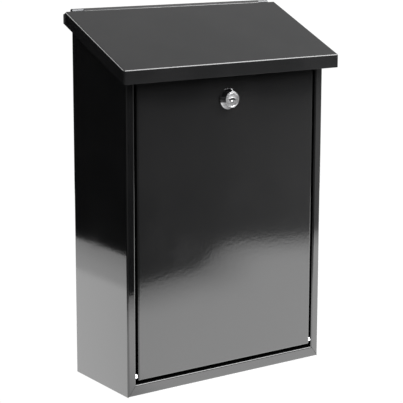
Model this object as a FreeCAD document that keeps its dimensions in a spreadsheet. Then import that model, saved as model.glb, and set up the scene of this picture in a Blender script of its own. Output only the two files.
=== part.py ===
import FreeCAD, Part
import math
import os
import Sketcher

# Wall mounted mailbox of folded sheet steel. Millimetres, +Z up, the front faces -Y.
# The origin is the middle of the four wall holes, on the back face that lies against the wall.

SIZES = [
    ("sheet", 0.8, "thickness of every folded panel"),
    ("bend_radius", 1.0, "inside radius of a fold"),
    ("seam", 0.2, "half the gap of a welded mitre, and the play of a welded lap"),
    ("body_width", 256, "outside width of the casing"),
    ("body_depth", 108, "from the wall to the front frame"),
    ("hole_height", 180, "from the casing's bottom to the middle of the wall holes"),
    ("hole_pitch_across", 180, "wall holes, side to side"),
    ("hole_pitch_up", 240, "wall holes, bottom to top"),
    ("hole_radius", 3.5, "wall holes"),
    ("stile_width", 10, "front frame, each side"),
    ("sill_height", 12.4, "front frame, bottom"),
    ("lip_depth", 9, "inward lip around the door opening"),
    ("pan_flange", 15, "upturned weld flange of the bottom pan"),
    ("pan_relief", 3, "gap beside the ends of the pan's side flanges"),
    ("lid_angle", 23.83, "fall of the lid to the front, in degrees"),
    ("lid_edge_height", 347, "from the casing's bottom to the lid's front edge"),
    ("lid_front_overhang", 14, "lid beyond the front frame"),
    ("lid_side_overhang", 11, "lid beyond each side"),
    ("lid_flange", 14.3, "height of the lid's downturned edge"),
    ("lid_rest_gap", 0.4, "upright gap between lid and casing"),
    ("lid_rear_gap", 2.0, "from the wall to the lid's side flanges"),
    ("lid_notch_gap", 0.8, "from the strap's roll to the lid's top beside it"),
    ("lid_notch_step", 1.3, "upright step at the top of the flange's cut corner"),
    ("lid_notch_fall", 4.9, "height of the flange's cut corner"),
    ("hinge_drop", 1.176, "from the lid's plane down to its hinge axis"),
    ("ramp_angle", 50.6, "rise of the lid's top into its roll, in degrees"),
    ("rod_radius", 1.5, "lid hinge rod"),
    ("rod_play", 0.05, "running clearance of the rod in the lid's roll"),
    ("rod_recess", 1.0, "rod end inside the strap's roll"),
    ("strap_inset", 11.8, "from the casing's side to the strap's inner end"),
    ("strap_roll", 13.5, "length of the strap's roll"),
    ("strap_tail_gap", 0.2, "from the strap's flat tail to the casing's fold"),
    ("strap_length", 26, "from the hinge axis to the strap's lower end"),
    ("roll_gap", 0.4, "from the lid's roll to the strap"),
    ("back_gap", 1.05, "from the lid's roll down to the back's top edge"),
    ("side_notch_gap", 1.4, "from the lid's cut corner to the step in the side's top edge"),
    ("keeper_gap", 0.5, "from the front rail's keeper lip to the locked cam"),
    ("rail_lip", 8, "upturned keeper lip of the front rail"),
    ("rail_top_depth", 12, "top fold of the front rail"),
    ("rail_top_gap", 0.6, "from the rail's top to the lid, upright"),
    ("rail_gap", 3, "from the door to the front rail"),
    ("door_side_gap", 3, "from the door to the frame, each side"),
    ("door_sill_gap", 3.8, "from the sill to the door"),
    ("door_top_gap", 1.7, "from the door's top up to the lid's front flange"),
    ("door_depth", 12, "depth of the door's folded edges"),
    ("door_corner", 1.0, "rounding of the door's corners"),
    ("pivot_rise", 4.5, "from the door's bottom to its hinge axis"),
    ("pivot_depth", 4.5, "from the front face to the door's hinge axis"),
    ("collar_radius", 3.15, "spacing collar of the pivot rivet"),
    ("collar_play", 0.3, "from the collar to the door"),
    ("journal_radius", 2.0, "pivot rivet in the door's edge"),
    ("journal_play", 0.05, "running clearance of the pivot rivet"),
    ("journal_end", 3.2, "rivet end beyond the door's edge, inside"),
    ("shank_radius", 1.7, "pivot rivet through the frame's lip"),
    ("rivet_head_gap", 0.1, "from the peened head behind the frame's lip to the fold"),
    ("rivet_head", 1.1, "thickness of the peened head"),
    ("retainer_radius", 2.8, "push-on retainer"),
    ("retainer_sheet", 0.5, "thickness of the retainer"),
    ("retainer_dish", 0.6, "height of the retainer's dish"),
    ("lock_drop", 24.2, "from the door's top down to the lock's axis"),
    ("plug_radius", 6.25, "lock plug body"),
    ("plug_shoulder", 0.95, "step from the plug's body out to its head"),
    ("face_ring", 1.3, "width of the housing's flat face around the plug"),
    ("housing_wall", 3.0, "from the plug out to the housing's barrel"),
    ("bezel_overlap", 2.0, "from the barrel out to the foot of the lock's cone"),
    ("bezel_rim", 0.9, "cylindrical foot of the bezel"),
    ("bezel_height", 7, "lock face in front of the door"),
    ("barrel_length", 18, "lock housing behind the door's face"),
    ("barrel_flat_cut", 1.25, "depth of the housing's two flats"),
    ("barrel_play", 0.15, "housing in the door's hole"),
    ("plug_head", 3, "thickness of the plug's head"),
    ("plug_recess", 0.25, "plug face behind the housing's face"),
    ("plug_play", 0.06, "running clearance of the plug"),
    ("key_slot_length", 7.6, "key slot in the plug's face"),
    ("key_slot_width", 2.0, "key slot in the plug's face"),
    ("key_slot_bow", 9, "radius of the key slot's curve"),
    ("key_slot_depth", 19, "key slot, front to back"),
    ("wafer_count", 5, "wafers in the plug"),
    ("wafer_pitch", 2.9, "spacing of the wafers"),
    ("wafer_sheet", 0.9, "thickness of a wafer"),
    ("wafer_width", 5.4, "width of a wafer"),
    ("wafer_inset", 0.65, "from a wafer's end to the plug's outside"),
    ("wafer_play", 0.1, "wafer in its slot, each side"),
    ("wafer_side", 1.35, "wafer beside its key window"),
    ("wafer_end", 1.5, "wafer beyond the ends of its key window"),
    ("spring_radius", 0.5, "wafer spring"),
    ("spring_wire", 0.16, "radius of the spring's wire"),
    ("spring_turns", 8, "turns of the spring"),
    ("spring_pitch", 0.3, "rise of one turn"),
    ("spring_offset", 2.1, "from the plug's axis to the spring's axis"),
    ("spring_play", 0.04, "spring in its bore"),
    ("tang_across", 7, "square end of the plug"),
    ("tang_play", 0.05, "cam on the plug's square end"),
    ("cam_gap", 0.3, "from the housing to the cam"),
    ("cam_sheet", 2, "thickness of the cam"),
    ("cam_reach", 38, "from the lock's axis to the cam's tip"),
    ("cam_width", 16, "width of the cam at the plug"),
    ("cam_tip_width", 12, "width of the cam at its tip"),
    ("screw_radius", 2.4, "cam screw's thread"),
    ("screw_depth", 5, "screw hole in the plug"),
    ("screw_end_gap", 0.3, "from the screw's end to the bottom of its hole"),
    ("screw_head_radius", 4.4, "cam screw's head"),
    ("screw_head", 2.6, "thickness of the cam screw's head"),
    ("screw_socket", 3, "hexagon socket, across flats"),
    ("spring_washer", 1.0, "thickness of the cam's spring washer"),
    ("spring_washer_radius", 4.6, "outside of the cam's spring washer"),
    ("spring_washer_split", 0.8, "cut in the spring washer"),
    ("nut_wall", 2.75, "lock nut beside its bore, at the flats"),
    ("nut_height", 4, "lock nut"),
    ("tooth_washer", 0.8, "thickness of the toothed washer"),
    ("tooth_ring", 3.0, "width of the toothed washer's ring"),
    ("tooth_depth", 1.6, "teeth of the toothed washer"),
    ("tooth_count", 12, "teeth of the toothed washer"),
]


class Size:
    """A length that carries both its number and its spreadsheet formula."""

    def __init__(self, value, formula):
        self.value = float(value)
        self.formula = formula

    def __add__(self, other):
        other = as_size(other)
        return Size(self.value + other.value, f"({self.formula} + {other.formula})")

    def __sub__(self, other):
        other = as_size(other)
        return Size(self.value - other.value, f"({self.formula} - {other.formula})")

    def __mul__(self, other):
        other = as_size(other)
        return Size(self.value * other.value, f"({self.formula} * {other.formula})")

    def __truediv__(self, other):
        other = as_size(other)
        return Size(self.value / other.value, f"({self.formula} / {other.formula})")

    def __radd__(self, other):
        return as_size(other) + self

    def __rsub__(self, other):
        return as_size(other) - self

    def __rmul__(self, other):
        return as_size(other) * self

    def __neg__(self):
        return Size(-self.value, f"(-1 * {self.formula})")


def as_size(number):
    if isinstance(number, Size):
        return number
    return Size(number, f"({float(number)!r})")


def sine(angle):
    return Size(math.sin(math.radians(angle.value)), f"sin({angle.formula})")


def cosine(angle):
    return Size(math.cos(math.radians(angle.value)), f"cos({angle.formula})")


def root(size):
    return Size(math.sqrt(size.value), f"sqrt({size.formula})")


def make_sheet(doc):
    """Puts the driving sizes into the spreadsheet and returns them by name."""
    sheet = doc.addObject("Spreadsheet::Sheet", "sizes")
    sizes = {}
    for row, (name, value, note) in enumerate(SIZES, start=1):
        sheet.set(f"A{row}", name)
        sheet.set(f"B{row}", str(value))
        sheet.setAlias(f"B{row}", name)
        sheet.set(f"C{row}", note)
        sizes[name] = Size(value, f"sizes.{name}")
    return sizes


DOC = FreeCAD.newDocument("mailbox")
D = make_sheet(DOC)
DOC.recompute()

# Places that several pieces share.
SHEET = D["sheet"]
OUTER_BEND = D["bend_radius"] + SHEET
HALF_WIDTH = D["body_width"] / 2
FRONT = -D["body_depth"]
BOTTOM = -D["hole_height"]
HALF_OPENING = HALF_WIDTH - D["stile_width"]
SILL = BOTTOM + D["sill_height"]
LIP_END = FRONT + D["lip_depth"]

LID_SIN = sine(D["lid_angle"])
LID_COS = cosine(D["lid_angle"])
LID_TAN = LID_SIN / LID_COS
LID_FRONT = FRONT - D["lid_front_overhang"]
LID_EDGE = BOTTOM + D["lid_edge_height"]
LID_HALF = HALF_WIDTH + D["lid_side_overhang"]

HINGE_Y = -(2 * SHEET + D["rod_radius"])
HINGE_Z = LID_EDGE + (HINGE_Y - LID_FRONT) * LID_TAN - D["hinge_drop"]
ROLL_BORE = D["rod_radius"] + D["rod_play"]
ROLL_RADIUS = ROLL_BORE + SHEET
STRAP_RADIUS = D["rod_radius"] + SHEET
BACK_TOP = HINGE_Z - ROLL_RADIUS - D["back_gap"]
STRAP_INNER = HALF_WIDTH - D["strap_inset"]
LID_NOTCH = HINGE_Y - STRAP_RADIUS - D["lid_notch_gap"]

DOOR_HALF = HALF_OPENING - D["door_side_gap"]
DOOR_BOTTOM = SILL + D["door_sill_gap"]
DOOR_TOP = LID_EDGE - D["lid_flange"] - D["door_top_gap"]
PIVOT_Y = FRONT + D["pivot_depth"]
PIVOT_Z = DOOR_BOTTOM + D["pivot_rise"]

LOCK_Z = DOOR_TOP - D["lock_drop"]
PLUG_HEAD_RADIUS = D["plug_radius"] + D["plug_shoulder"]
FACE_RADIUS = PLUG_HEAD_RADIUS + D["face_ring"]
BARREL_RADIUS = D["plug_radius"] + D["housing_wall"]
BARREL_FLAT = BARREL_RADIUS - D["barrel_flat_cut"]
BEZEL_RADIUS = BARREL_RADIUS + D["bezel_overlap"]
LOCK_FACE = FRONT - D["bezel_height"]
BARREL_END = FRONT + D["barrel_length"]
PLUG_FACE = LOCK_FACE + D["plug_recess"]
PLUG_SHOULDER = PLUG_FACE + D["plug_head"]
CAM_FRONT = BARREL_END + D["cam_gap"]
CAM_REAR = CAM_FRONT + D["cam_sheet"]
KEEPER_REAR = CAM_FRONT - D["keeper_gap"]


def lid_top(y):
    """Height of the lid's upper surface at depth y."""
    return LID_EDGE + (y - LID_FRONT) * LID_TAN


def lid_seat(y):
    """Height that the casing may reach under the lid at depth y."""
    return lid_top(y) - SHEET / LID_COS - D["lid_rest_gap"]


# ---------------------------------------------------------------- document helpers

def new_body(name):
    body = DOC.addObject("PartDesign::Body", name)
    body.Label = name
    return body


def bind(item, prop, size):
    item.setExpression(prop, as_size(size).formula)


def new_sketch(body, plane, at=(0, 0, 0)):
    """A sketch on one of the body's own planes, its origin moved to the point at."""
    sketch = body.newObject("Sketcher::SketchObject", f"{body.Name}_sketch")
    origin_plane = next(item for item in body.Origin.OriginFeatures if item.Role == plane)
    sketch.AttachmentSupport = [(origin_plane, "")]
    sketch.MapMode = "FlatFace"
    x, y, z = at
    local = {"XY_Plane": (x, y, z), "XZ_Plane": (x, z, -as_size(y)), "YZ_Plane": (y, z, x)}[plane]
    for axis, size in zip("xyz", local):
        bind(sketch, f"AttachmentOffset.Base.{axis}", size)
    return sketch


def pin_point(sketch, geometry, point, across, up):
    """Fixes a sketch point at two sizes from the sketch's origin."""
    for kind, size in (("DistanceX", as_size(across)), ("DistanceY", as_size(up))):
        index = sketch.addConstraint(Sketcher.Constraint(kind, -1, 1, geometry, point, size.value))
        sketch.setExpression(f"Constraints[{index}]", size.formula)


def flat(point):
    return FreeCAD.Vector(as_size(point[0]).value, as_size(point[1]).value, 0)


def add_polygon(sketch, points):
    first = sketch.GeometryCount
    count = len(points)
    for index in range(count):
        line = Part.LineSegment(flat(points[index]), flat(points[(index + 1) % count]))
        sketch.addGeometry(line)
    for index in range(count):
        following = first + (index + 1) % count
        sketch.addConstraint(Sketcher.Constraint("Coincident", first + index, 2, following, 1))
    for index, (across, up) in enumerate(points):
        pin_point(sketch, first + index, 1, across, up)


def add_rectangle(sketch, left, low, right, high):
    add_polygon(sketch, [(left, low), (right, low), (right, high), (left, high)])


def add_circle(sketch, across, up, radius):
    radius = as_size(radius)
    circle = Part.Circle(flat((across, up)), FreeCAD.Vector(0, 0, 1), radius.value)
    geometry = sketch.addGeometry(circle)
    index = sketch.addConstraint(Sketcher.Constraint("Radius", geometry, radius.value))
    sketch.setExpression(f"Constraints[{index}]", radius.formula)
    pin_point(sketch, geometry, 3, across, up)


def add_hexagon(sketch, across_flats):
    corner = across_flats / 2 / root(as_size(3))
    half = across_flats / 2
    add_polygon(sketch, [(2 * corner, 0), (corner, half), (-corner, half),
                         (-2 * corner, 0), (-corner, -half), (corner, -half)])


def volume_of(body):
    DOC.recompute()
    if body.Tip is None or body.Tip.Shape.isNull():
        return 0.0
    return body.Tip.Shape.Volume


def extrude(body, kind, sketch, length, symmetric, backwards):
    before = volume_of(body)
    feature = body.newObject(kind, f"{body.Name}_{kind.split('::')[1].lower()}")
    feature.Profile = sketch
    feature.SideType = "Symmetric" if symmetric else "One side"
    feature.Reversed = backwards
    bind(feature, "Length", length)
    after = volume_of(body)
    grew = after > before + 1e-6
    shrank = after < before - 1e-6
    if (kind.endswith("Pad") and not grew) or (kind.endswith("Pocket") and not shrank):
        raise RuntimeError(f"{feature.Name} changed nothing")
    return feature


def pad(body, sketch, length, symmetric=True, backwards=False):
    return extrude(body, "PartDesign::Pad", sketch, length, symmetric, backwards)


def pocket(body, sketch, length, symmetric=True, backwards=False):
    return extrude(body, "PartDesign::Pocket", sketch, length, symmetric, backwards)


def turn(body, sketch, axis="H_Axis"):
    """Revolves a sketch about one of its own axes, to add material."""
    feature = body.newObject("PartDesign::Revolution", f"{body.Name}_turned")
    feature.Profile = sketch
    feature.ReferenceAxis = (sketch, [axis])
    feature.Angle = 360
    DOC.recompute()
    return feature


def edges_through(body, points):
    """Names of the edges that pass through the given points."""
    names = []
    for point in points:
        place = FreeCAD.Vector(*[as_size(value).value for value in point])
        spot = Part.Vertex(place)
        found = [f"Edge{index}" for index, edge in enumerate(body.Tip.Shape.Edges, start=1)
                 if edge.distToShape(spot)[0] < 1e-4]
        if not found:
            raise RuntimeError(f"{body.Name} has no edge at {tuple(place)}")
        names += [name for name in found if name not in names]
    return names


def dress(body, kind, size_name, size, points):
    DOC.recompute()
    base = body.Tip
    names = edges_through(body, points)
    feature = body.newObject(kind, f"{body.Name}_{kind.split('::')[1].lower()}")
    feature.Base = (base, names)
    bind(feature, size_name, size)
    DOC.recompute()
    return feature


def fillet(body, radius, points):
    return dress(body, "PartDesign::Fillet", "Radius", radius, points)


def chamfer(body, size, points):
    return dress(body, "PartDesign::Chamfer", "Size", size, points)


def both_sides(points):
    """The points and their mirror images across the middle of the mailbox."""
    return [(side * as_size(x), y, z) for side in (1, -1) for x, y, z in points]


# ---------------------------------------------------------------- casing

def mitre_outline(shift, keep_below):
    """One side's cut along the frame's mitre, from the casing's corner to the opening's."""
    slope = D["sill_height"] / D["stile_width"]
    past = as_size(1)
    low = (HALF_WIDTH + shift + past / slope, BOTTOM - past)
    high = (HALF_OPENING + shift - past / slope, SILL + past)
    if keep_below:
        return [low, high, (HALF_WIDTH + past, SILL + past), (HALF_WIDTH + past, BOTTOM - past)]
    wall = HALF_WIDTH - SHEET
    wall_height = BOTTOM + (HALF_WIDTH + shift - wall) * slope
    corner_height = BOTTOM + (HALF_WIDTH + shift - HALF_OPENING + past) * slope
    return [(wall, BOTTOM - past), (wall, wall_height),
            (HALF_OPENING - past, corner_height), (HALF_OPENING - past, BOTTOM - past)]


def cut_mitres(body, shift, keep_below):
    middle = FRONT + D["lip_depth"] / 2
    sketch = new_sketch(body, "XZ_Plane", (0, middle, 0))
    outline = mitre_outline(shift, keep_below)
    for side in (1, -1):
        add_polygon(sketch, [(side * across, up) for across, up in outline])
    pocket(body, sketch, D["lip_depth"] + 1)


def casing_wrap():
    """Left side, back and right side in one sheet, with the front stiles and their lips."""
    body = new_body("casing_wrap")
    outer = [(HALF_OPENING, LIP_END), (HALF_OPENING, FRONT), (HALF_WIDTH, FRONT), (HALF_WIDTH, 0)]
    inside_front = FRONT + SHEET
    inner = [(HALF_WIDTH - SHEET, -SHEET), (HALF_WIDTH - SHEET, inside_front),
             (HALF_OPENING + SHEET, inside_front), (HALF_OPENING + SHEET, LIP_END)]
    outline = outer + [(-x, y) for x, y in reversed(outer)]
    outline += [(-x, y) for x, y in reversed(inner)] + inner
    sketch = new_sketch(body, "XY_Plane", (0, 0, BOTTOM))
    add_polygon(sketch, outline)
    height = lid_seat(as_size(0)) - BOTTOM
    pad(body, sketch, height, symmetric=False)
    middle = BOTTOM + height / 2
    fillet(body, OUTER_BEND, both_sides([(HALF_WIDTH, FRONT, middle), (HALF_WIDTH, 0, middle),
                                         (HALF_OPENING, FRONT, middle)]))
    fillet(body, D["bend_radius"],
           both_sides([(HALF_WIDTH - SHEET, inside_front, middle),
                       (HALF_WIDTH - SHEET, -SHEET, middle),
                       (HALF_OPENING + SHEET, inside_front, middle)]))
    past = as_size(20)
    step = LID_NOTCH - D["side_notch_gap"]
    sketch = new_sketch(body, "YZ_Plane")
    add_polygon(sketch, [(FRONT - past, lid_seat(FRONT - past)), (step, lid_seat(step)),
                         (step, BACK_TOP), (past, BACK_TOP),
                         (past, HINGE_Z + past), (FRONT - past, HINGE_Z + past)])
    pocket(body, sketch, D["body_width"] + past)
    cut_mitres(body, D["seam"], keep_below=False)
    sketch = new_sketch(body, "YZ_Plane")
    add_circle(sketch, PIVOT_Y, PIVOT_Z, D["shank_radius"])
    pocket(body, sketch, 2 * (HALF_OPENING + 2 * SHEET))
    sketch = new_sketch(body, "XZ_Plane")
    for across in (-1, 1):
        for up in (-1, 1):
            add_circle(sketch, across * D["hole_pitch_across"] / 2, up * D["hole_pitch_up"] / 2,
                       D["hole_radius"])
    pocket(body, sketch, 3 * SHEET)
    return body


def bottom_pan():
    """Floor with the front sill, its lip, and weld flanges inside the sides and back."""
    body = new_body("bottom_pan")
    rear = -SHEET - D["seam"] / 4
    flange_top = BOTTOM + D["pan_flange"]
    half = HALF_WIDTH - SHEET - D["seam"] / 4
    sketch = new_sketch(body, "YZ_Plane")
    add_polygon(sketch, [(LIP_END, SILL), (FRONT, SILL), (FRONT, BOTTOM), (rear, BOTTOM),
                         (rear, flange_top), (rear - SHEET, flange_top),
                         (rear - SHEET, BOTTOM + SHEET), (FRONT + SHEET, BOTTOM + SHEET),
                         (FRONT + SHEET, SILL - SHEET), (LIP_END, SILL - SHEET)])
    pad(body, sketch, 2 * half)
    fillet(body, OUTER_BEND, [(0, FRONT, BOTTOM), (0, FRONT, SILL), (0, rear, BOTTOM)])
    fillet(body, D["bend_radius"], [(0, FRONT + SHEET, BOTTOM + SHEET),
                                    (0, FRONT + SHEET, SILL - SHEET),
                                    (0, rear - SHEET, BOTTOM + SHEET)])
    cut_mitres(body, -D["seam"], keep_below=True)
    flange_front = LIP_END + D["pan_relief"]
    flange_rear = rear - D["pan_relief"]
    sketch = new_sketch(body, "XZ_Plane", (0, (flange_front + flange_rear) / 2, 0))
    for side in (1, -1):
        add_rectangle(sketch, side * (half - SHEET), BOTTOM, side * half, flange_top)
    pad(body, sketch, flange_rear - flange_front)
    clear = D["bend_radius"] * 1.5
    sketch = new_sketch(body, "XY_Plane", (0, 0, BOTTOM))
    for side in (1, -1):
        add_rectangle(sketch, side * (half - clear), rear - SHEET - clear,
                      side * (half + clear), rear + clear)
    pocket(body, sketch, 2 * D["pan_flange"] + 2)
    return body


def front_rail():
    """Cross rail above the door, whose turned-up rear lip is the lock's keeper."""
    body = new_body("front_rail")
    low = DOOR_TOP + D["rail_gap"]
    high = lid_seat(FRONT) - D["rail_top_gap"]
    rear = KEEPER_REAR
    top_end = FRONT + D["rail_top_depth"]
    lip_top = low + D["rail_lip"]
    sketch = new_sketch(body, "YZ_Plane")
    add_polygon(sketch, [(FRONT, low), (rear, low), (rear, lip_top), (rear - SHEET, lip_top),
                         (rear - SHEET, low + SHEET), (FRONT + SHEET, low + SHEET),
                         (FRONT + SHEET, high - SHEET), (top_end, high - SHEET),
                         (top_end, high), (FRONT, high)])
    pad(body, sketch, 2 * HALF_OPENING)
    fillet(body, OUTER_BEND, [(0, FRONT, low), (0, FRONT, high), (0, rear, low)])
    fillet(body, D["bend_radius"], [(0, FRONT + SHEET, low + SHEET),
                                    (0, FRONT + SHEET, high - SHEET),
                                    (0, rear - SHEET, low + SHEET)])
    return body


def hinge_strap(name, side):
    """Rolled strap inside the back, one at each end of the lid's hinge rod."""
    body = new_body(name)
    inner = side * STRAP_INNER
    low = HINGE_Z - D["strap_length"]
    tail = D["strap_inset"] - OUTER_BEND - D["strap_tail_gap"]
    sketch = new_sketch(body, "YZ_Plane", (inner + side * tail / 2, 0, 0))
    add_rectangle(sketch, -2 * SHEET, low, -SHEET, HINGE_Z)
    pad(body, sketch, tail)
    middle = inner + side * D["strap_roll"] / 2
    sketch = new_sketch(body, "YZ_Plane", (middle, HINGE_Y, HINGE_Z))
    add_circle(sketch, 0, 0, STRAP_RADIUS)
    pad(body, sketch, D["strap_roll"])
    sketch = new_sketch(body, "YZ_Plane", (middle, HINGE_Y, HINGE_Z))
    add_circle(sketch, 0, 0, D["rod_radius"])
    pocket(body, sketch, D["strap_roll"] + 2)
    sketch = new_sketch(body, "YZ_Plane", (middle, HINGE_Y, HINGE_Z))
    rod = D["rod_radius"]
    add_rectangle(sketch, -rod / 2, -2 * STRAP_RADIUS, rod, -rod / 3)
    pocket(body, sketch, D["strap_roll"] + 2)
    return body


def lid_hinge_rod():
    body = new_body("lid_hinge_rod")
    sketch = new_sketch(body, "YZ_Plane", (0, HINGE_Y, HINGE_Z))
    add_circle(sketch, 0, 0, D["rod_radius"])
    half = STRAP_INNER + D["strap_roll"] - D["rod_recess"]
    pad(body, sketch, 2 * half)
    chamfer(body, D["rod_radius"] / 5, both_sides([(half, HINGE_Y, HINGE_Z + D["rod_radius"])]))
    return body


def pivot_rivet(name, side):
    """Shouldered rivet in the frame's lip that the door's lower corner turns on."""
    body = new_body(name)
    inside = DOOR_HALF - SHEET - D["journal_end"]
    collar = DOOR_HALF + D["collar_play"]
    lip = HALF_OPENING + SHEET
    head = lip + D["rivet_head"]
    head_radius = D["pivot_depth"] - OUTER_BEND - D["rivet_head_gap"]
    profile = [(inside, 0), (inside, D["journal_radius"]), (collar, D["journal_radius"]),
               (collar, D["collar_radius"]), (HALF_OPENING, D["collar_radius"]),
               (HALF_OPENING, D["shank_radius"]), (lip, D["shank_radius"]),
               (lip, head_radius), (head, head_radius), (head, 0)]
    sketch = new_sketch(body, "XZ_Plane", (0, PIVOT_Y, PIVOT_Z))
    add_polygon(sketch, [(side * x, r) for x, r in profile])
    turn(body, sketch)
    crown = D["rivet_head"] / 2
    fillet(body, crown, [(side * head, PIVOT_Y, PIVOT_Z + head_radius)])
    return body


def pivot_retainer(name, side):
    """Dished push-on washer that keeps the door on its rivet."""
    body = new_body(name)
    face = DOOR_HALF - SHEET - D["collar_play"]
    dished = face - D["retainer_dish"]
    thick = D["retainer_sheet"]
    profile = [(face, D["retainer_radius"]), (dished, D["journal_radius"]),
               (dished - thick, D["journal_radius"]), (face - thick, D["retainer_radius"])]
    sketch = new_sketch(body, "XZ_Plane", (0, PIVOT_Y, PIVOT_Z))
    add_polygon(sketch, [(side * x, r) for x, r in profile])
    turn(body, sketch)
    return body


# ---------------------------------------------------------------- lid

def lid_panel():
    """Sloping lid with downturned edges, rolled around the hinge rod at the back."""
    body = new_body("lid_panel")
    flange = D["lid_flange"]
    rear = -D["lid_rear_gap"]
    sketch = new_sketch(body, "YZ_Plane")
    add_polygon(sketch, [(LID_FRONT, LID_EDGE - flange), (LID_FRONT, LID_EDGE),
                         (rear, lid_top(rear)), (rear, lid_top(rear) - flange)])
    pad(body, sketch, 2 * LID_HALF)
    middle = (LID_FRONT + rear) / 2
    low = LID_EDGE - flange / 2
    fillet(body, OUTER_BEND, [(0, LID_FRONT, LID_EDGE)]
           + both_sides([(LID_HALF, middle, lid_top(middle)), (LID_HALF, LID_FRONT, low)]))
    inside = LID_FRONT + SHEET
    inside_half = LID_HALF - SHEET
    past = as_size(20)
    under = SHEET / LID_COS
    sketch = new_sketch(body, "YZ_Plane")
    add_polygon(sketch, [(inside, LID_EDGE - flange - past), (inside, lid_top(inside) - under),
                         (rear + past, lid_top(rear + past) - under),
                         (rear + past, lid_top(rear) - flange - past)])
    pocket(body, sketch, 2 * inside_half)
    fillet(body, D["bend_radius"], [(0, inside, lid_top(inside) - under)]
           + both_sides([(inside_half, middle, lid_top(middle) - under),
                         (inside_half, inside, low)]))

    cut = LID_NOTCH
    step = lid_top(cut) - D["lid_notch_step"]
    corner = lid_top(rear) - D["lid_notch_fall"]
    fall = (step - corner) / (rear - cut)
    sketch = new_sketch(body, "YZ_Plane")
    add_polygon(sketch, [(cut, lid_top(cut) + past), (cut, step), (rear, corner),
                         (rear + past, corner - past * fall), (rear + past, lid_top(cut) + past)])
    pocket(body, sketch, 2 * LID_HALF + past)

    roll_half = STRAP_INNER - D["roll_gap"]
    rise_sin = sine(D["ramp_angle"])
    rise_cos = cosine(D["ramp_angle"])
    touch_y = HINGE_Y - ROLL_RADIUS * rise_sin
    touch_z = HINGE_Z + ROLL_RADIUS * rise_cos
    ramp = (touch_z - lid_top(touch_y)) / (rise_sin - rise_cos * LID_TAN)
    foot_y = touch_y - ramp * rise_cos
    foot_z = touch_z - ramp * rise_sin
    flat_y = cut - SHEET
    mitre_y = foot_y + SHEET * (rise_sin + LID_SIN) / 2
    mitre_z = lid_top(mitre_y) - SHEET / LID_COS
    sketch = new_sketch(body, "YZ_Plane")
    add_polygon(sketch, [(flat_y, lid_top(flat_y)), (foot_y, foot_z), (touch_y, touch_z),
                         (touch_y + SHEET * rise_sin, touch_z - SHEET * rise_cos),
                         (mitre_y, mitre_z), (flat_y, lid_top(flat_y) - SHEET / LID_COS)])
    pad(body, sketch, 2 * roll_half)
    sketch = new_sketch(body, "YZ_Plane", (0, HINGE_Y, HINGE_Z))
    add_circle(sketch, 0, 0, ROLL_RADIUS)
    pad(body, sketch, 2 * roll_half)
    sketch = new_sketch(body, "YZ_Plane", (0, HINGE_Y, HINGE_Z))
    add_circle(sketch, 0, 0, ROLL_BORE)
    pocket(body, sketch, 2 * roll_half + 2)
    sketch = new_sketch(body, "YZ_Plane", (0, HINGE_Y, HINGE_Z))
    slit = SHEET
    add_polygon(sketch, [(0, 0), (-slit, -2 * ROLL_RADIUS), (-3 * slit, -2 * ROLL_RADIUS),
                         (-2 * slit, -ROLL_BORE / 2)])
    pocket(body, sketch, 2 * roll_half + 2)
    return body


# ---------------------------------------------------------------- door

def door_panel():
    """Door pan with folded edges, hung on rivets at its lower corners."""
    body = new_body("door_panel")
    middle_z = (DOOR_BOTTOM + DOOR_TOP) / 2
    sketch = new_sketch(body, "XZ_Plane", (0, FRONT, 0))
    add_rectangle(sketch, -DOOR_HALF, DOOR_BOTTOM, DOOR_HALF, DOOR_TOP)
    pad(body, sketch, D["door_depth"], symmetric=False, backwards=True)
    inside = FRONT + D["door_depth"] / 2
    fillet(body, D["door_corner"], both_sides([(DOOR_HALF, inside, DOOR_BOTTOM),
                                               (DOOR_HALF, inside, DOOR_TOP)]))
    fillet(body, OUTER_BEND, both_sides([(DOOR_HALF, FRONT, middle_z)])
           + [(0, FRONT, DOOR_BOTTOM), (0, FRONT, DOOR_TOP)])
    inner_half = DOOR_HALF - SHEET
    low = DOOR_BOTTOM + SHEET
    high = DOOR_TOP - SHEET
    sketch = new_sketch(body, "XZ_Plane", (0, FRONT + SHEET, 0))
    add_rectangle(sketch, -inner_half, low, inner_half, high)
    pocket(body, sketch, D["door_depth"] + 1, symmetric=False)
    fillet(body, D["bend_radius"], both_sides([(inner_half, FRONT + SHEET, middle_z)])
           + [(0, FRONT + SHEET, low), (0, FRONT + SHEET, high)])
    sketch = new_sketch(body, "YZ_Plane")
    add_circle(sketch, PIVOT_Y, PIVOT_Z, D["journal_radius"] + D["journal_play"])
    pocket(body, sketch, 2 * HALF_OPENING)
    flat_half = BARREL_FLAT + D["barrel_play"]
    hole = BARREL_RADIUS + D["barrel_play"]
    straight = root(hole * hole - flat_half * flat_half)
    sketch = new_sketch(body, "XZ_Plane", (0, FRONT, LOCK_Z))
    add_double_flat(sketch, flat_half, straight, hole)
    pocket(body, sketch, 4 * SHEET)
    return body


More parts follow.
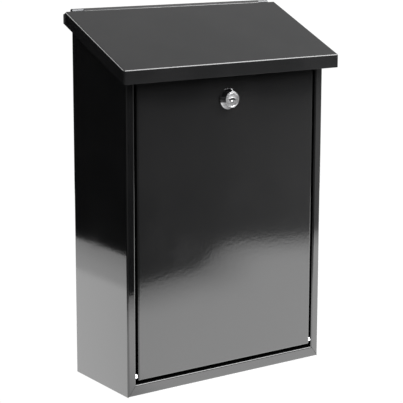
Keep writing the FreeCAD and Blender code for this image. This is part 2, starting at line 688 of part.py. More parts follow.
def add_double_flat(sketch, flat_half, straight, radius):
    """A round hole with a flat on each side, as a lock housing has."""
    centre = flat((0, 0))
    reach = math.atan2(straight.value, flat_half.value)
    circle = Part.Circle(centre, FreeCAD.Vector(0, 0, 1), radius.value)
    sketch.addGeometry(Part.ArcOfCircle(circle, reach, math.pi - reach))
    sketch.addGeometry(Part.LineSegment(flat((-flat_half, straight)), flat((-flat_half, -straight))))
    sketch.addGeometry(Part.ArcOfCircle(circle, math.pi + reach, 2 * math.pi - reach))
    sketch.addGeometry(Part.LineSegment(flat((flat_half, -straight)), flat((flat_half, straight))))
    for index in range(4):
        sketch.addConstraint(Sketcher.Constraint("Coincident", index, 2, (index + 1) % 4, 1))
    pin_point(sketch, 1, 1, -flat_half, straight)
    pin_point(sketch, 1, 2, -flat_half, -straight)
    pin_point(sketch, 3, 1, flat_half, -straight)
    pin_point(sketch, 3, 2, flat_half, straight)
    for arc in (0, 2):
        index = sketch.addConstraint(Sketcher.Constraint("Radius", arc, radius.value))
        sketch.setExpression(f"Constraints[{index}]", radius.formula)


# ---------------------------------------------------------------- lock, turned about an axis along Y

def turned_on_lock_axis(body, profile):
    """Revolves (radius, depth) points about the lock's axis."""
    sketch = new_sketch(body, "XY_Plane", (0, 0, LOCK_Z))
    add_polygon(sketch, profile)
    turn(body, sketch, "V_Axis")


def lock_housing():
    body = new_body("lock_housing")
    bore = D["plug_radius"] + D["plug_play"]
    head_bore = PLUG_HEAD_RADIUS + D["plug_play"]
    shoulder = PLUG_SHOULDER + D["plug_play"]
    turned_on_lock_axis(body, [
        (FACE_RADIUS, LOCK_FACE), (BEZEL_RADIUS, FRONT - D["bezel_rim"]),
        (BEZEL_RADIUS, FRONT), (BARREL_RADIUS, FRONT), (BARREL_RADIUS, BARREL_END),
        (bore, BARREL_END), (bore, shoulder), (head_bore, shoulder), (head_bore, LOCK_FACE)])
    rim = D["bezel_rim"] / 2
    fillet(body, rim, [(0, LOCK_FACE, LOCK_Z + FACE_RADIUS),
                       (0, FRONT - D["bezel_rim"], LOCK_Z + BEZEL_RADIUS)])
    past = as_size(5)
    sketch = new_sketch(body, "XZ_Plane", (0, FRONT, LOCK_Z))
    for side in (1, -1):
        add_rectangle(sketch, side * BARREL_FLAT, -BARREL_RADIUS - past,
                      side * (BARREL_RADIUS + past), BARREL_RADIUS + past)
    pocket(body, sketch, D["barrel_length"] + past, symmetric=False)
    return body


def wafer_places():
    """Depths of the wafers' middles along the plug."""
    first = PLUG_SHOULDER + D["wafer_pitch"]
    return [first + index * D["wafer_pitch"] for index in range(int(D["wafer_count"].value))]


def add_bowed_slot(sketch, length, width, bow):
    """A slot that follows an arc curving upwards in its middle, with square ends."""
    centre_drop = bow
    half_angle = math.asin(length.value / 2 / bow.value)
    centre = flat((0, -centre_drop))
    outer = bow + width / 2
    inner = bow - width / 2
    reach_sin = length / 2 / bow
    reach_cos = root(1 - reach_sin * reach_sin)
    up = math.pi / 2
    for radius in (outer, inner):
        circle = Part.Circle(centre, FreeCAD.Vector(0, 0, 1), radius.value)
        sketch.addGeometry(Part.ArcOfCircle(circle, up - half_angle, up + half_angle))
    ends = {}
    for name, radius in (("outer", outer), ("inner", inner)):
        for side in (1, -1):
            ends[name, side] = (side * radius * reach_sin, radius * reach_cos - centre_drop)
    for side in (-1, 1):
        sketch.addGeometry(Part.LineSegment(flat(ends["outer", side]), flat(ends["inner", side])))
    for arc, name in ((0, "outer"), (1, "inner")):
        for line, end, side in ((2, 2, -1), (3, 1, 1)):
            point = 1 if name == "outer" else 2
            sketch.addConstraint(Sketcher.Constraint("Coincident", arc, end, line, point))
            pin_point(sketch, line, point, *ends[name, side])
        radius = outer if name == "outer" else inner
        index = sketch.addConstraint(Sketcher.Constraint("Radius", arc, radius.value))
        sketch.setExpression(f"Constraints[{index}]", radius.formula)


def lock_plug():
    body = new_body("lock_plug")
    head = PLUG_HEAD_RADIUS
    turned_on_lock_axis(body, [(0, PLUG_FACE), (head, PLUG_FACE), (head, PLUG_SHOULDER),
                               (D["plug_radius"], PLUG_SHOULDER), (D["plug_radius"], CAM_FRONT),
                               (0, CAM_FRONT)])
    half = D["tang_across"] / 2
    sketch = new_sketch(body, "XZ_Plane", (0, CAM_FRONT, LOCK_Z))
    add_rectangle(sketch, -half, -half, half, half)
    pad(body, sketch, D["cam_sheet"], symmetric=False, backwards=True)
    sketch = new_sketch(body, "XZ_Plane", (0, CAM_REAR, LOCK_Z))
    add_circle(sketch, 0, 0, D["screw_radius"])
    pocket(body, sketch, D["screw_depth"], symmetric=False, backwards=True)
    sketch = new_sketch(body, "XZ_Plane", (0, PLUG_FACE, LOCK_Z))
    add_bowed_slot(sketch, D["key_slot_length"], D["key_slot_width"], D["key_slot_bow"])
    pocket(body, sketch, D["key_slot_depth"], symmetric=False)
    wide = D["wafer_width"] / 2 + D["wafer_play"]
    for place in wafer_places():
        sketch = new_sketch(body, "XZ_Plane", (0, place, LOCK_Z))
        past = D["plug_radius"] + 1
        add_rectangle(sketch, -past, -wide, past, wide)
        pocket(body, sketch, D["wafer_sheet"] + 2 * D["wafer_play"])
    bore_start = -spring_length() / 2 - D["spring_play"]
    bore_end = D["plug_radius"] + 1
    for place in wafer_places():
        gap = place + D["wafer_pitch"] / 2
        sketch = new_sketch(body, "YZ_Plane", ((bore_start + bore_end) / 2, gap, LOCK_Z))
        add_circle(sketch, 0, D["spring_offset"],
                   D["spring_radius"] + D["spring_wire"] + D["spring_play"])
        pocket(body, sketch, bore_end - bore_start)
    return body


def spring_length():
    return (D["spring_turns"] - 1) * D["spring_pitch"] + 2 * D["spring_wire"]


def wafer_tumblers():
    """The flat wafers that the key lifts, each with its own window."""
    half_length = (D["plug_radius"] - D["wafer_inset"]).value
    half_width = (D["wafer_width"] / 2).value
    window_length = half_length - D["wafer_end"].value
    window_width = half_width - D["wafer_side"].value
    thick = D["wafer_sheet"].value
    wafers = []
    for place in wafer_places():
        front = place.value - thick / 2
        plate = Part.makeBox(2 * half_length, thick, 2 * half_width,
                             FreeCAD.Vector(-half_length, front, -half_width))
        upright = [edge for edge in plate.Edges if abs(edge.tangentAt(edge.FirstParameter).y) > 0.9]
        plate = plate.makeFillet(half_width / 3, upright)
        window = Part.makeBox(2 * window_length, 3 * thick, 2 * window_width,
                              FreeCAD.Vector(-window_length, front - thick, -window_width))
        wafers.append(plate.cut(window))
    return loose_part("wafer_tumblers", Part.makeCompound(wafers))


def wafer_springs():
    """One small coil spring beside each wafer, its turns touching as in a pressed spring."""
    springs = []
    turns = int(D["spring_turns"].value)
    pitch = D["spring_pitch"].value
    span = pitch * (turns - 1)
    for place in wafer_places():
        gap = place.value + D["wafer_pitch"].value / 2
        rings = []
        for index in range(turns):
            centre = FreeCAD.Vector(index * pitch - span / 2, gap, D["spring_offset"].value)
            rings.append(Part.makeTorus(D["spring_radius"].value, D["spring_wire"].value,
                                        centre, FreeCAD.Vector(1, 0, 0)))
        springs.append(rings[0].multiFuse(rings[1:]))
    return loose_part("wafer_springs", Part.makeCompound(springs))


def loose_part(name, shape):
    part = DOC.addObject("Part::Feature", name)
    part.Label = name
    part.Shape = shape
    part.Placement = FreeCAD.Placement(FreeCAD.Vector(0, 0, LOCK_Z.value), FreeCAD.Rotation())
    return part


def lock_cam():
    """Flat latch on the plug's square end, reaching sideways while the lock is open."""
    body = new_body("lock_cam")
    half = D["cam_width"] / 2
    tip_half = D["cam_tip_width"] / 2
    tip = D["cam_reach"]
    sketch = new_sketch(body, "XZ_Plane", (0, CAM_FRONT, LOCK_Z))
    add_polygon(sketch, [(-half, -half), (half, -half), (tip, -tip_half), (tip, tip_half),
                         (half, half), (-half, half)])
    pad(body, sketch, D["cam_sheet"], symmetric=False, backwards=True)
    middle = (CAM_FRONT + CAM_REAR) / 2
    fillet(body, half * 0.6, [(-half, middle, LOCK_Z - half), (-half, middle, LOCK_Z + half)])
    fillet(body, tip_half * 0.6, [(tip, middle, LOCK_Z - tip_half), (tip, middle, LOCK_Z + tip_half)])
    hole = D["tang_across"] / 2 + D["tang_play"]
    sketch = new_sketch(body, "XZ_Plane", (0, CAM_FRONT, LOCK_Z))
    add_rectangle(sketch, -hole, -hole, hole, hole)
    pocket(body, sketch, 3 * D["cam_sheet"])
    return body


def cam_washer():
    """Split spring washer between the cam and its screw."""
    body = new_body("cam_washer")
    rear = CAM_REAR + D["spring_washer"]
    bore = D["screw_radius"] + D["tang_play"]
    turned_on_lock_axis(body, [(bore, CAM_REAR), (D["spring_washer_radius"], CAM_REAR),
                               (D["spring_washer_radius"], rear), (bore, rear)])
    split = D["spring_washer_split"] / 2
    sketch = new_sketch(body, "XZ_Plane", (0, CAM_REAR, LOCK_Z))
    add_rectangle(sketch, -split, 0, split, D["spring_washer_radius"] + 1)
    pocket(body, sketch, 3 * D["spring_washer"])
    return body


def cam_screw():
    body = new_body("cam_screw")
    head_front = CAM_REAR + D["spring_washer"]
    head_rear = head_front + D["screw_head"]
    thread_end = CAM_REAR - D["screw_depth"] + D["screw_end_gap"]
    turned_on_lock_axis(body, [(0, thread_end), (D["screw_radius"], thread_end),
                               (D["screw_radius"], head_front), (D["screw_head_radius"], head_front),
                               (D["screw_head_radius"], head_rear), (0, head_rear)])
    fillet(body, D["screw_head"] / 3, [(0, head_rear, LOCK_Z + D["screw_head_radius"])])
    sketch = new_sketch(body, "XZ_Plane", (0, head_rear, LOCK_Z))
    add_hexagon(sketch, D["screw_socket"])
    pocket(body, sketch, D["screw_head"] * 0.7, symmetric=False, backwards=True)
    return body


def lock_washer():
    """Toothed washer behind the door's skin."""
    body = new_body("lock_washer")
    front = FRONT + SHEET
    sketch = new_sketch(body, "XZ_Plane", (0, front, LOCK_Z))
    bore = BARREL_RADIUS + D["barrel_play"]
    edge = bore + D["tooth_ring"]
    add_circle(sketch, 0, 0, edge)
    pad(body, sketch, D["tooth_washer"], symmetric=False, backwards=True)
    sketch = new_sketch(body, "XZ_Plane", (0, front, LOCK_Z))
    add_circle(sketch, 0, 0, bore)
    pocket(body, sketch, 3 * D["tooth_washer"])
    sketch = new_sketch(body, "XZ_Plane", (0, front, LOCK_Z))
    wide = D["tooth_depth"] / 2
    add_polygon(sketch, [(-wide, edge + wide), (-wide / 2, edge - D["tooth_depth"]),
                         (wide / 2, edge - D["tooth_depth"]), (wide, edge + wide)])
    notch = pocket(body, sketch, 3 * D["tooth_washer"])
    pattern = body.newObject("PartDesign::PolarPattern", "lock_washer_teeth")
    pattern.Originals = [notch]
    pattern.Axis = (sketch, ["N_Axis"])
    pattern.Angle = 360
    bind(pattern, "Occurrences", D["tooth_count"])
    body.Tip = pattern
    DOC.recompute()
    return body


def lock_nut():
    body = new_body("lock_nut")
    front = FRONT + SHEET + D["tooth_washer"]
    sketch = new_sketch(body, "XZ_Plane", (0, front, LOCK_Z))
    add_hexagon(sketch, 2 * (BARREL_RADIUS + D["nut_wall"]))
    pad(body, sketch, D["nut_height"], symmetric=False, backwards=True)
    sketch = new_sketch(body, "XZ_Plane", (0, front, LOCK_Z))
    add_circle(sketch, 0, 0, BARREL_RADIUS)
    pocket(body, sketch, 3 * D["nut_height"])
    return body


# ---------------------------------------------------------------- the whole mailbox

def make_parts():
    parts = [casing_wrap(), bottom_pan(), front_rail()]
    for side, word in ((-1, "left"), (1, "right")):
        parts.append(hinge_strap(f"hinge_strap_{word}", side))
        parts.append(pivot_rivet(f"pivot_rivet_{word}", side))
        parts.append(pivot_retainer(f"pivot_retainer_{word}", side))
    parts += [lid_hinge_rod(), lid_panel(), door_panel()]
    parts += [lock_housing(), lock_washer(), lock_nut(), lock_plug(), wafer_tumblers(),
              wafer_springs(), lock_cam(), cam_washer(), cam_screw()]
    return parts


def check_document(parts):
    for item in DOC.Objects:
        if "Invalid" in item.State or "Error" in item.State:
            raise RuntimeError(f"{item.Label} failed: {item.State}")
    for part in parts:
        if part.Shape.isNull() or not part.Shape.isValid():
            raise RuntimeError(f"{part.Label} has no valid shape")


def write_parts(parts):
    os.makedirs("parts", exist_ok=True)
    for part in parts:
        part.Shape.exportStep(f"parts/{part.Label}.step")
        box = part.Shape.BoundBox
        print(f"{part.Label:22s} solids {len(part.Shape.Solids)} volume {part.Shape.Volume:10.1f}"
              f"  x {box.XMin:7.2f} {box.XMax:7.2f}  y {box.YMin:7.2f} {box.YMax:7.2f}"
              f"  z {box.ZMin:7.2f} {box.ZMax:7.2f}")


PARTS = make_parts()
DOC.recompute()
check_document(PARTS)
write_parts(PARTS)
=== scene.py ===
import math
import bmesh
import bpy
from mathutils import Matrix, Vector


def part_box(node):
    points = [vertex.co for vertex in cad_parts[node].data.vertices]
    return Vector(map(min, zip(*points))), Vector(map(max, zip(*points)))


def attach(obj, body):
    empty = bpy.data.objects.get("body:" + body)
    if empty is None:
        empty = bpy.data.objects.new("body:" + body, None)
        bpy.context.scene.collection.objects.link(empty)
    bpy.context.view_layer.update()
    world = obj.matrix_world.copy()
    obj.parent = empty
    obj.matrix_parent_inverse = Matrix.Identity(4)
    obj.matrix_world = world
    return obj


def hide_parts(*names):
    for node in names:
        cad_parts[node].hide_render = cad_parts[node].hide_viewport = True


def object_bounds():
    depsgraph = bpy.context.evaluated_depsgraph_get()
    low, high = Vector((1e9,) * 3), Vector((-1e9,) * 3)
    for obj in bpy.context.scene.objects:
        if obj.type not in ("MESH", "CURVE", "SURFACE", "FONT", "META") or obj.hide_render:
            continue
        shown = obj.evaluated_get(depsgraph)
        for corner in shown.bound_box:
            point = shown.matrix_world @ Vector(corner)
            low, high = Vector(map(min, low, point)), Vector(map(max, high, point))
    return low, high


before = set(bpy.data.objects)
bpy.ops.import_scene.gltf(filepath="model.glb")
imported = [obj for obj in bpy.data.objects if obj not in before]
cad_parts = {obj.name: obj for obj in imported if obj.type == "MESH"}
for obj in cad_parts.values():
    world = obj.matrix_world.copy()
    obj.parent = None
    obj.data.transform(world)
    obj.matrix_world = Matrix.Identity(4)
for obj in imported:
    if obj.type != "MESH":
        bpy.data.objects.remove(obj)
cad_low, cad_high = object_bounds()
MM = 0.001

# Places taken from the CAD nodes.
door_low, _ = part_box("door_panel")
housing_low, housing_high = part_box("lock_housing")
plug_low, plug_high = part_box("lock_plug")
nut_low, nut_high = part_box("lock_nut")
wafers_low, wafers_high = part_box("wafer_tumblers")
cam_low, cam_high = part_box("lock_cam")
lid_low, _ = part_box("lid_panel")
rod_low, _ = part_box("lid_hinge_rod")
AXIS_X = (plug_low.x + plug_high.x) / 2
AXIS_Z = (plug_low.z + plug_high.z) / 2


# ---------------------------------------------------------------- node helpers

def add_node(tree, kind, **settings):
    node = tree.nodes.new(kind)
    for name, value in settings.items():
        setattr(node, name, value)
    return node


def feed(tree, source, target):
    tree.links.new(source, target)


def noise(tree, vector, scale, detail=2.0, roughness=0.5):
    node = add_node(tree, "ShaderNodeTexNoise")
    node.inputs["Detail"].default_value = detail
    node.inputs["Roughness"].default_value = roughness
    feed(tree, vector, node.inputs["Vector"])
    if isinstance(scale, (int, float)):
        node.inputs["Scale"].default_value = scale
    else:
        feed(tree, scale, node.inputs["Scale"])
    return node.outputs["Fac"]


def calc(tree, operation, first, second=None, third=None, clamp=False):
    node = add_node(tree, "ShaderNodeMath", operation=operation, use_clamp=clamp)
    for socket, value in zip(node.inputs, (first, second, third)):
        if value is None:
            continue
        if isinstance(value, (int, float)):
            socket.default_value = value
        else:
            feed(tree, value, socket)
    return node.outputs["Value"]


def between(tree, value, low, high, out_low=0.0, out_high=1.0):
    """Maps a value smoothly from one range to another."""
    node = add_node(tree, "ShaderNodeMapRange", interpolation_type="SMOOTHSTEP")
    feed(tree, value, node.inputs["Value"])
    for name, amount in (("From Min", low), ("From Max", high), ("To Min", out_low), ("To Max", out_high)):
        node.inputs[name].default_value = amount
    return node.outputs["Result"]


def blend_colors(tree, mask, first, second):
    node = add_node(tree, "ShaderNodeMix", data_type="RGBA")
    feed(tree, mask, node.inputs[0])
    for socket, value in ((node.inputs[6], first), (node.inputs[7], second)):
        if isinstance(value, tuple):
            socket.default_value = value
        else:
            feed(tree, value, socket)
    return node.outputs[2]


def object_place(tree):
    return add_node(tree, "ShaderNodeTexCoord").outputs["Object"]


def split_place(tree, vector=None):
    """The three parts of a vector, or of the place on the piece if none is given."""
    parts = add_node(tree, "ShaderNodeSeparateXYZ")
    feed(tree, object_place(tree) if vector is None else vector, parts.inputs["Vector"])
    return parts.outputs["X"], parts.outputs["Y"], parts.outputs["Z"]


def lock_place(tree):
    """Radius about the lock's axis, and depth along it."""
    shift = add_node(tree, "ShaderNodeVectorMath", operation="SUBTRACT")
    shift.inputs[1].default_value = (AXIS_X, 0.0, AXIS_Z)
    feed(tree, object_place(tree), shift.inputs[0])
    across, depth, up = split_place(tree, shift.outputs["Vector"])
    squares = calc(tree, "ADD", calc(tree, "POWER", across, 2.0), calc(tree, "POWER", up, 2.0))
    return calc(tree, "SQRT", squares), depth


def stretched_place(tree, scale):
    mapping = add_node(tree, "ShaderNodeMapping")
    mapping.inputs["Scale"].default_value = scale
    feed(tree, object_place(tree), mapping.inputs["Vector"])
    return mapping.outputs["Vector"]


def new_group(name, inputs, outputs):
    """A shader node group with named sockets and the group's own input and output nodes."""
    tree = bpy.data.node_groups.new(name, "ShaderNodeTree")
    for label, kind, default in inputs:
        socket = tree.interface.new_socket(label, in_out="INPUT", socket_type=kind)
        socket.default_value = default
    for label, kind in outputs:
        tree.interface.new_socket(label, in_out="OUTPUT", socket_type=kind)
    return tree, add_node(tree, "NodeGroupInput").outputs, add_node(tree, "NodeGroupOutput").inputs


def mix_shaders(tree, factor, first, second):
    mix = add_node(tree, "ShaderNodeMixShader")
    feed(tree, factor, mix.inputs["Fac"])
    feed(tree, first, mix.inputs[1])
    feed(tree, second, mix.inputs[2])
    return mix.outputs["Shader"]


def place_group(tree, group, **values):
    node = add_node(tree, "ShaderNodeGroup", node_tree=group)
    for label, value in values.items():
        node.inputs[label.replace("_", " ")].default_value = value
    return node.outputs


FLOAT = "NodeSocketFloat"


# ---------------------------------------------------------------- shared effects

SPECK_CELLS = 75.0
SPECK_CHOICE_CELLS = 26.0
EDGE_RADIUS = 0.6 * MM
SLOT_REACH = 4.6 * MM


def make_powder_relief():
    """Orange peel, slow waves of the sheet and sunken specks, as a height in metres."""
    tree, given, result = new_group(
        "powder relief",
        [("Peel Cells", FLOAT, 300.0), ("Peel Height", FLOAT, 0.000003),
         ("Wave Cells", FLOAT, 9.0), ("Wave Height", FLOAT, 0.0002),
         ("Speck Depth", FLOAT, 0.00001)],
        [("Height", FLOAT), ("Specks", FLOAT)])
    place = object_place(tree)
    peel = noise(tree, place, given["Peel Cells"], 1.0)
    fine = noise(tree, place, calc(tree, "MULTIPLY", given["Peel Cells"], 2.7), 0.0)
    peel = calc(tree, "MULTIPLY_ADD", fine, 0.3, peel)
    wave = noise(tree, place, given["Wave Cells"], 0.0)
    spots = add_node(tree, "ShaderNodeTexVoronoi", feature="F1")
    spots.inputs["Scale"].default_value = SPECK_CELLS
    feed(tree, place, spots.inputs["Vector"])
    chosen = between(tree, noise(tree, place, SPECK_CHOICE_CELLS, 0.0), 0.68, 0.74)
    specks = calc(tree, "MULTIPLY", between(tree, spots.outputs["Distance"], 0.03, 0.0), chosen)
    height = calc(tree, "MULTIPLY", peel, given["Peel Height"])
    height = calc(tree, "MULTIPLY_ADD", wave, given["Wave Height"], height)
    sunk = calc(tree, "MULTIPLY", specks, given["Speck Depth"])
    feed(tree, calc(tree, "SUBTRACT", height, sunk), result["Height"])
    feed(tree, specks, result["Specks"])
    return tree


def make_thin_edges():
    """A mask of the sheet's cut edges and tight folds, where a coating draws thin."""
    tree, given, result = new_group(
        "thin edges", [("Broken Cells", FLOAT, 300.0), ("Strength", FLOAT, 1.0)], [("Mask", FLOAT)])
    bevel = add_node(tree, "ShaderNodeBevel", samples=4)
    bevel.inputs["Radius"].default_value = EDGE_RADIUS
    geometry = add_node(tree, "ShaderNodeNewGeometry")
    compare = add_node(tree, "ShaderNodeVectorMath", operation="DOT_PRODUCT")
    feed(tree, bevel.outputs["Normal"], compare.inputs[0])
    feed(tree, geometry.outputs["Normal"], compare.inputs[1])
    edge = between(tree, compare.outputs["Value"], 0.985, 0.86)
    broken = between(tree, noise(tree, object_place(tree), given["Broken Cells"], 3.0), 0.3, 0.62)
    mask = calc(tree, "MULTIPLY", calc(tree, "MULTIPLY", edge, broken), given["Strength"], clamp=True)
    feed(tree, mask, result["Mask"])
    return tree


def make_handling_marks():
    """Faint rubbed patches and hairlines that change a surface's sheen."""
    tree, given, result = new_group(
        "handling marks",
        [("Patch Cells", FLOAT, 18.0), ("Hairline Cells", FLOAT, 900.0), ("Hairline Amount", FLOAT, 0.5)],
        [("Patches", FLOAT), ("Hairlines", FLOAT)])
    place = object_place(tree)
    patches = noise(tree, place, given["Patch Cells"], 4.0, 0.6)
    hair = noise(tree, stretched_place(tree, (1.0, 0.04, 0.06)), given["Hairline Cells"], 2.0, 0.7)
    hair = calc(tree, "MULTIPLY", between(tree, hair, 0.56, 0.7), given["Hairline Amount"])
    feed(tree, between(tree, patches, 0.35, 0.7), result["Patches"])
    feed(tree, hair, result["Hairlines"])
    return tree


def make_turning_rings():
    """Fine rings left by turning about the lock's axis."""
    tree, given, result = new_group(
        "turning rings", [("Rings per Metre", FLOAT, 5200.0), ("Ring Height", FLOAT, 0.0000006)],
        [("Height", FLOAT), ("Rings", FLOAT)])
    radius, depth = lock_place(tree)
    merged = add_node(tree, "ShaderNodeCombineXYZ")
    feed(tree, calc(tree, "ADD", radius, depth), merged.inputs["X"])
    rings = noise(tree, merged.outputs["Vector"], given["Rings per Metre"], 2.0)
    feed(tree, calc(tree, "MULTIPLY", rings, given["Ring Height"]), result["Height"])
    feed(tree, rings, result["Rings"])
    return tree


def make_plating_bloom():
    """Cloudy tone of a zinc or brass plating, with fine grain."""
    tree, given, result = new_group(
        "plating bloom",
        [("Cloud Cells", FLOAT, 90.0), ("Grain Cells", FLOAT, 2600.0), ("Grain Height", FLOAT, 0.0000012)],
        [("Clouds", FLOAT), ("Grain", FLOAT), ("Height", FLOAT)])
    place = object_place(tree)
    clouds = between(tree, noise(tree, place, given["Cloud Cells"], 3.0, 0.6), 0.3, 0.7)
    grain = noise(tree, place, given["Grain Cells"], 2.0, 0.6)
    feed(tree, clouds, result["Clouds"])
    feed(tree, grain, result["Grain"])
    feed(tree, calc(tree, "MULTIPLY", grain, given["Grain Height"]), result["Height"])
    return tree


def make_slot_painted_shade():
    """A mask of the painted shade inside the key slot, round the lock's axis and behind its face."""
    tree, given, result = new_group("slot painted shade", [("Reach", FLOAT, SLOT_REACH)], [("Mask", FLOAT)])
    radius, depth = lock_place(tree)
    inside = calc(tree, "LESS_THAN", radius, given["Reach"])
    behind = between(tree, depth, plug_low.y + 0.45 * MM, plug_low.y + 1.0 * MM)
    ahead = between(tree, depth, cam_low.y - 2.0 * MM, cam_low.y - 1.0 * MM, 1.0, 0.0)
    feed(tree, calc(tree, "MULTIPLY", calc(tree, "MULTIPLY", inside, behind), ahead), result["Mask"])
    return tree


powder_relief = make_powder_relief()
slot_painted_shade = make_slot_painted_shade()
thin_edges = make_thin_edges()
handling_marks = make_handling_marks()
turning_rings = make_turning_rings()
plating_bloom = make_plating_bloom()


# ---------------------------------------------------------------- materials

# The door's top edge draws back: its slope grows to CROWN_SLOPE over CROWN_HEIGHT.
CROWN_HEIGHT = 40 * MM
CROWN_SLOPE = 0.065
CROWN_CURVE = CROWN_SLOPE / (3.0 * CROWN_HEIGHT ** 2)
# The lid's coating dulls by MATT_AMOUNT over MATT_FADE on its rolled rear edge.
MATT_FADE = 0.7 * MM
MATT_AMOUNT = 0.62
PAINT_IOR = 1.5
EDGE_BRIGHTENING = 1.25


def rgb(red, green, blue):
    return red, green, blue, 1.0


def scaled(color, factor):
    return tuple(min(1.0, value * factor) for value in color[:3]) + (1.0,)


DEEP_BLACK = rgb(0.0042, 0.0043, 0.0045)
SOFT_BLACK = rgb(0.0058, 0.0058, 0.0060)
SPECK_GREY = rgb(0.014, 0.014, 0.014)
THIN_COAT_GREY = rgb(0.030, 0.030, 0.031)
# Near-black painted inside the key slot as its shade.
SLOT_SHADE_BLACK = rgb(0.012, 0.011, 0.010)


def new_material(name):
    material = bpy.data.materials.new(name)
    material.use_nodes = True
    tree = material.node_tree
    return material, tree, tree.nodes["Principled BSDF"]


def bump_from(tree, height, shader):
    bump = add_node(tree, "ShaderNodeBump")
    bump.inputs["Strength"].default_value = 1.0
    bump.inputs["Distance"].default_value = 1.0
    feed(tree, height, bump.inputs["Height"])
    feed(tree, bump.outputs["Normal"], shader.inputs["Normal"])


def black_powder(name, sheen_low, sheen_high, peel, wave_cells, wave,
                 lean=0.0, painted_light_lift=1.0, crown_start=None, matt_from=None):
    """Gloss black powder coat on sheet steel.

    lean is the slope of front faces away from the middle, painted_light_lift lightens the black
    as painted light, above crown_start the sheet draws back a little towards its top edge, and
    behind matt_from the coating is dull.
    """
    material, tree, shader = new_material(name)
    relief = place_group(tree, powder_relief, Peel_Height=peel, Wave_Cells=wave_cells, Wave_Height=wave)
    edges = place_group(tree, thin_edges, Strength=0.8)
    marks = place_group(tree, handling_marks, Patch_Cells=14.0, Hairline_Amount=0.12)
    across, depth, up = split_place(tree)
    # A lift above one lightens both blacks as painted light.
    color = blend_colors(tree, marks["Patches"], scaled(DEEP_BLACK, painted_light_lift), scaled(SOFT_BLACK, painted_light_lift))
    color = blend_colors(tree, relief["Specks"], color, SPECK_GREY)
    color = blend_colors(tree, edges["Mask"], color, THIN_COAT_GREY)
    feed(tree, color, shader.inputs["Base Color"])
    sheen = between(tree, marks["Patches"], 0.0, 1.0, sheen_low, sheen_high)
    sheen = calc(tree, "MULTIPLY_ADD", marks["Hairlines"], 0.05, sheen)
    sheen = calc(tree, "MULTIPLY_ADD", edges["Mask"], 0.12, sheen)
    if matt_from is not None:
        matt = between(tree, depth, matt_from, matt_from + MATT_FADE, 0.0, MATT_AMOUNT)
        sheen = calc(tree, "ADD", sheen, matt)
    feed(tree, sheen, shader.inputs["Roughness"])
    height = relief["Height"]
    if lean:
        height = calc(tree, "MULTIPLY_ADD", calc(tree, "ABSOLUTE", across), -lean, height)
    if crown_start is not None:
        above = calc(tree, "MAXIMUM", calc(tree, "SUBTRACT", up, crown_start), 0.0)
        height = calc(tree, "MULTIPLY_ADD", calc(tree, "POWER", above, 3.0), -CROWN_CURVE, height)
    bump_from(tree, height, shader)
    shader.inputs["IOR"].default_value = PAINT_IOR
    return material


def satin_chrome(name, tone, shade, rough_low, rough_high, ring_height, front_dulling):
    """Chrome over a turned casting, with painted shade inside the key slot, and duller on its front face.
    """
    material, tree, shader = new_material(name)
    rings = place_group(tree, turning_rings, Ring_Height=ring_height)
    marks = place_group(tree, handling_marks, Patch_Cells=160.0, Hairline_Cells=2400.0, Hairline_Amount=0.5)
    slot_shade = place_group(tree, slot_painted_shade)
    color = blend_colors(tree, marks["Patches"], tone, shade)
    # Painted shade: the inside of the key slot is coloured near-black.
    color = blend_colors(tree, slot_shade["Mask"], color, SLOT_SHADE_BLACK)
    feed(tree, color, shader.inputs["Base Color"])
    rough = between(tree, rings["Rings"], 0.2, 0.8, rough_low, rough_high)
    rough = calc(tree, "MULTIPLY_ADD", marks["Hairlines"], 0.08, rough)
    _, depth, _ = split_place(tree)
    front = between(tree, depth, housing_low.y + 0.05 * MM, housing_low.y + 0.30 * MM, front_dulling, 0.0)
    feed(tree, calc(tree, "ADD", rough, front), shader.inputs["Roughness"])
    shader.inputs["Metallic"].default_value = 1.0
    bump_from(tree, rings["Height"], shader)
    return material


def plated_metal(name, tone, clouded, rough_low, rough_high, cloud_cells):
    """Zinc or brass with a cloudy tone, lighter edges and a fine grain."""
    material, tree, shader = new_material(name)
    bloom = place_group(tree, plating_bloom, Cloud_Cells=cloud_cells)
    edges = place_group(tree, thin_edges, Broken_Cells=700.0)
    marks = place_group(tree, handling_marks, Patch_Cells=60.0, Hairline_Cells=1500.0, Hairline_Amount=0.6)
    color = blend_colors(tree, bloom["Clouds"], tone, clouded)
    color = blend_colors(tree, edges["Mask"], color, scaled(tone, EDGE_BRIGHTENING))
    feed(tree, color, shader.inputs["Base Color"])
    rough = between(tree, bloom["Grain"], 0.3, 0.7, rough_low, rough_high)
    rough = calc(tree, "MULTIPLY_ADD", marks["Hairlines"], 0.1, rough)
    feed(tree, rough, shader.inputs["Roughness"])
    shader.inputs["Metallic"].default_value = 1.0
    bump_from(tree, bloom["Height"], shader)
    return material


powder_on_casing = black_powder("gloss_powder_casing", 0.055, 0.085, 0.0150 * MM, 8.0, 0.22 * MM, lean=0.06)
powder_on_pan = black_powder("gloss_powder_pan", 0.055, 0.085, 0.0150 * MM, 8.0, 0.22 * MM)
powder_on_door = black_powder("gloss_powder_door", 0.095, 0.135, 0.0240 * MM, 6.5, 0.30 * MM,
                              crown_start=lid_low.z - CROWN_HEIGHT)
